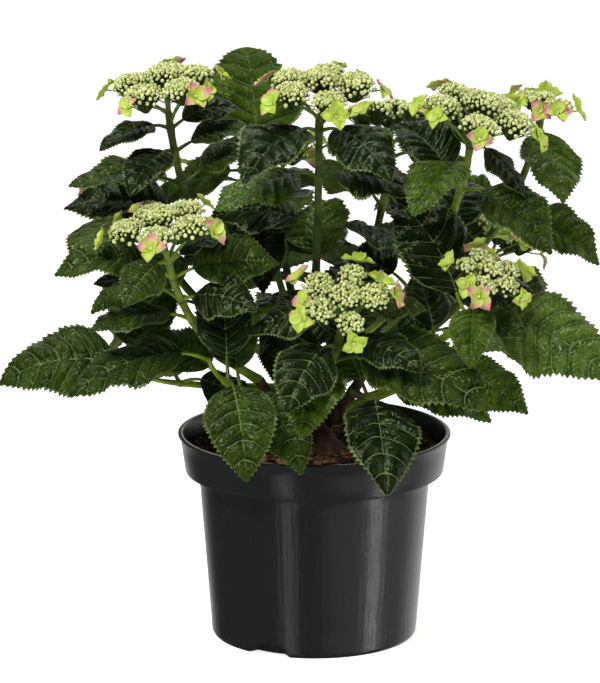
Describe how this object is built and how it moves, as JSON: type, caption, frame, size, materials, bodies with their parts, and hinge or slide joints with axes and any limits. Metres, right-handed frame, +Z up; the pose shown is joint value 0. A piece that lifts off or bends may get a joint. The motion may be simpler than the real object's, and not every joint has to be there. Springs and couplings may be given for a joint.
{
  "type": "hydrangea shrub",
  "caption": "Lacecap hydrangea shrub in a round nursery pot: woody canes, green shoots with broad leaves and flat bud heads.",
  "frame": {"origin": "middle of the pot's flat underside", "axes": "+Z up along the pot's axis, -Y to the front that is pictured, +X to the viewer's right"},
  "size_m": [0.5086, 0.4164, 0.4861],
  "materials": {
    "pot": "satin",
    "medium": "matte",
    "bark": "matte",
    "foliage": "satin"
  },
  "bodies": {
    "root": {"pot": "pot", "growing_medium": "medium", "stem_crown": "bark", "bough_left": "bark", "bough_back_left": "bark", "bough_middle": "bark", "bough_front": "bark", "bough_right": "bark", "bough_back_right": "bark", "bough_back": "bark", "cut_stub_right": "bark", "cut_stub_left": "bark", "foliage_low_front_right": "foliage", "foliage_middle_front": "foliage", "foliage_low_front_left": "foliage", "foliage_low_right": "foliage", "foliage_right_front": "foliage", "foliage_low_far_left": "foliage", "foliage_low_left": "foliage", "foliage_left_front": "foliage", "foliage_back_left": "foliage", "foliage_upper_middle": "foliage", "foliage_upper_left": "foliage", "foliage_upper_right": "foliage", "foliage_far_right": "foliage", "foliage_back_right": "foliage", "foliage_back_middle": "foliage", "foliage_back_far_left": "foliage", "foliage_back_far_right": "foliage", "foliage_low_back": "foliage", "foliage_low_back_left": "foliage"}
  },
  "joints": []
}
